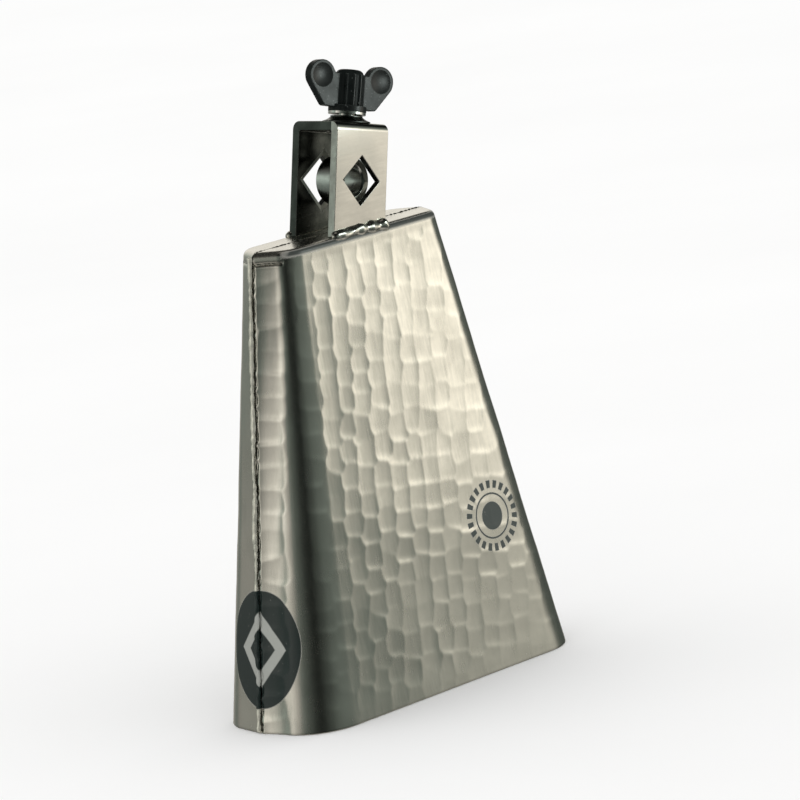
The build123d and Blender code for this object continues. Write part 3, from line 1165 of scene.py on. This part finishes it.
def build_floor():
    """A plain pale floor, unseen by polished metal."""
    mesh = bpy.data.meshes.new("floor")
    half = FLOOR_HALF
    corners = [(-half, -half, 0), (half, -half, 0), (half, half, 0), (-half, half, 0)]
    mesh.from_pydata(corners, [], [(0, 1, 2, 3)])
    floor = bpy.data.objects.new("floor", mesh)
    floor.location.z = -FLOOR_DROP
    bpy.context.scene.collection.objects.link(floor)
    material, nodes, surface = new_material("pale floor")
    cloud = nodes.spread(nodes.noise(3.0, 4.0), 0, 1)
    nodes.feed(surface["Base Color"], nodes.mix(cloud, (0.93, 0.93, 0.925), (0.95, 0.95, 0.945)))
    nodes.feed(surface["Roughness"], 0.9)
    nodes.feed(surface["Specular IOR Level"], 0.0)
    mesh.materials.append(material)
    floor.visible_glossy = False


def build_world():
    """A white room for the eye and the floor; polished metal sees a studio with varied walls."""
    world = bpy.data.worlds.new("studio")
    bpy.context.scene.world = world
    world.use_nodes = True
    world.cycles.sampling_method = "NONE"
    world.node_tree.nodes.clear()
    nodes = Nodes(world.node_tree)

    def ramp(value, stops):
        """The colour at a value between the stops."""
        node = nodes.add("ShaderNodeValToRGB", {0: value})
        node.color_ramp.interpolation = "EASE"
        elements = node.color_ramp.elements
        while len(elements) > 1:
            elements.remove(elements[-1])
        elements[0].position, elements[0].color = stops[0][0], (*stops[0][1], 1)
        for position, colour in stops[1:]:
            elements.new(position).color = (*colour, 1)
        return node.outputs[0]

    x, y, z = nodes.axes("Generated")
    turn = nodes.math("ARCTAN2", x, nodes.math("MULTIPLY", y, -1.0))
    turn = nodes.math("ADD", nodes.math("DIVIDE", turn, 2 * math.pi), 0.5)
    lift = nodes.math("ADD", nodes.math("MULTIPLY", z, 0.5), 0.5)
    walls = [((angle + 180) / 360, tinted(tint, level)) for angle, tint, level in WALLS]
    heights = ramp(lift, by_elevation(WALL_HEIGHTS))
    room = nodes.mix(1.0, ramp(turn, walls), heights, blend_type="MULTIPLY")
    plain = ramp(lift, by_elevation(PLAIN_SHARES))
    studio = nodes.mix(plain, room, tinted(WARM, PLAIN_LEVEL))
    polished = nodes.add("ShaderNodeLightPath").outputs["Is Glossy Ray"]
    seen = nodes.mix(polished, (ROOM_LIGHT,) * 3, studio)
    background = nodes.add("ShaderNodeBackground", {"Color": seen})
    nodes.add("ShaderNodeOutputWorld", {"Surface": background.outputs[0]})


def light_panel(name, origin, bearing, distance, sides, ends):
    """An upright panel seen only by polished surfaces, and its material's empty nodes."""
    out = Vector((math.sin(bearing), -math.cos(bearing), 0))
    across = Vector((math.cos(bearing), math.sin(bearing), 0))
    (left, right), (low, high) = sides, ends
    corners = [(left, low, 0), (right, low, 0), (right, high, 0), (left, high, 0)]
    mesh = bpy.data.meshes.new(name)
    mesh.from_pydata(corners, [], [(0, 1, 2, 3)])
    panel = bpy.data.objects.new(name, mesh)
    turn = Matrix((across, Vector((0, 0, 1)), -out)).transposed().to_4x4()
    panel.matrix_world = Matrix.Translation(Vector(origin) + out * distance) @ turn
    bpy.context.scene.collection.objects.link(panel)
    material = bpy.data.materials.new(name)
    material.use_nodes = True
    material.node_tree.nodes.clear()
    mesh.materials.append(material)
    for ray in ("camera", "diffuse", "shadow", "transmission"):
        setattr(panel, "visible_" + ray, False)
    return Nodes(material.node_tree)


def glow(nodes, strength, colour):
    """Light of the given strength in front of whatever lies behind the panel."""
    light = nodes.add("ShaderNodeEmission", {"Color": colour, "Strength": strength})
    clear = nodes.add("ShaderNodeBsdfTransparent")
    both = nodes.add("ShaderNodeAddShader", {0: light.outputs[0], 1: clear.outputs[0]})
    nodes.add("ShaderNodeOutputMaterial", {"Surface": both.outputs[0]})


def build_key_panel():
    """A louvred soft panel to the right of the front face."""
    origin = (0, MOUTH["depth"] * -0.75, 0)
    bearing = math.radians(42.1)
    nodes = light_panel("key_panel", origin, bearing, 0.5, (-0.15, 0.32), (-0.35, 0.55))
    x, y, _ = nodes.axes()
    tilted = nodes.math("MULTIPLY_ADD", y, -0.12, x)
    incoming = nodes.add("ShaderNodeNewGeometry").outputs["Incoming"]
    ray = nodes.add("ShaderNodeSeparateXYZ", {0: incoming}).outputs
    # each edge's light goes from one level to another between two places, in metres
    left_edge = nodes.spread(x, 0.0, 1.0, -0.038, 0.006)
    left_end = nodes.spread(tilted, 0.5, 1.0, -0.041, -0.019)
    right_edge = nodes.spread(x, 1.0, 0.0, 0.16, 0.30)
    low_edge = nodes.spread(y, 0.42, 1.34, 0.018, 0.078)
    top_edge = nodes.spread(y, 1.0, 0.0, 0.27, 0.40)
    louvres = nodes.spread(ray[2], 1.3, 0.55, -0.12, 0.30)
    strength = nodes.product(left_edge, left_end, right_edge, low_edge, top_edge, louvres)
    glow(nodes, strength, (0.94, 0.875, 0.785))


def build_wing_panel():
    """A small panel that lights the wing nut's flat faces and nothing below them."""
    low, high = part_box("wing_nut_body")
    middle, bearing = (low + high) / 2, math.radians(26)
    nodes = light_panel("wing_panel", middle, bearing, 0.12, (-0.035, 0.025), (-0.03, 0.02))
    x, y, _ = nodes.axes()
    sides = nodes.band(x, -0.028, 0.018, 0.007)
    ends = nodes.band(y, -0.024, 0.013, 0.004)
    glow(nodes, nodes.product(sides, ends, 5.5), (0.9, 1.0, 0.96))


def build_camera():
    """The camera, aimed so that the target falls off the middle of the frame."""
    level = math.cos(ELEVATION)
    back = Vector((math.sin(AZIMUTH) * level, -math.cos(AZIMUTH) * level, math.sin(ELEVATION)))
    level_right = Vector((math.cos(AZIMUTH), math.sin(AZIMUTH), 0))
    level_up = back.cross(level_right)
    right = level_right * math.cos(ROLL) - level_up * math.sin(ROLL)
    up = level_right * math.sin(ROLL) + level_up * math.cos(ROLL)
    forward = (-back * FOCAL + right * AIM_RIGHT + up * AIM_UP).normalized()
    right = (right - forward * right.dot(forward)).normalized()
    up = right.cross(forward)
    data = bpy.data.cameras.new("camera")
    data.sensor_width = 36.0
    data.lens = FOCAL * data.sensor_width
    data.clip_start, data.clip_end = 0.1, 50
    camera = bpy.data.objects.new("camera", data)
    turn = Matrix((right, up, -forward)).transposed().to_4x4()
    camera.matrix_world = Matrix.Translation(TARGET + back * DISTANCE) @ turn
    bpy.context.scene.collection.objects.link(camera)
    bpy.context.scene.camera = camera


build_floor()
build_world()
build_key_panel()
build_wing_panel()
build_camera()
bpy.context.scene.view_settings.view_transform = "Standard"
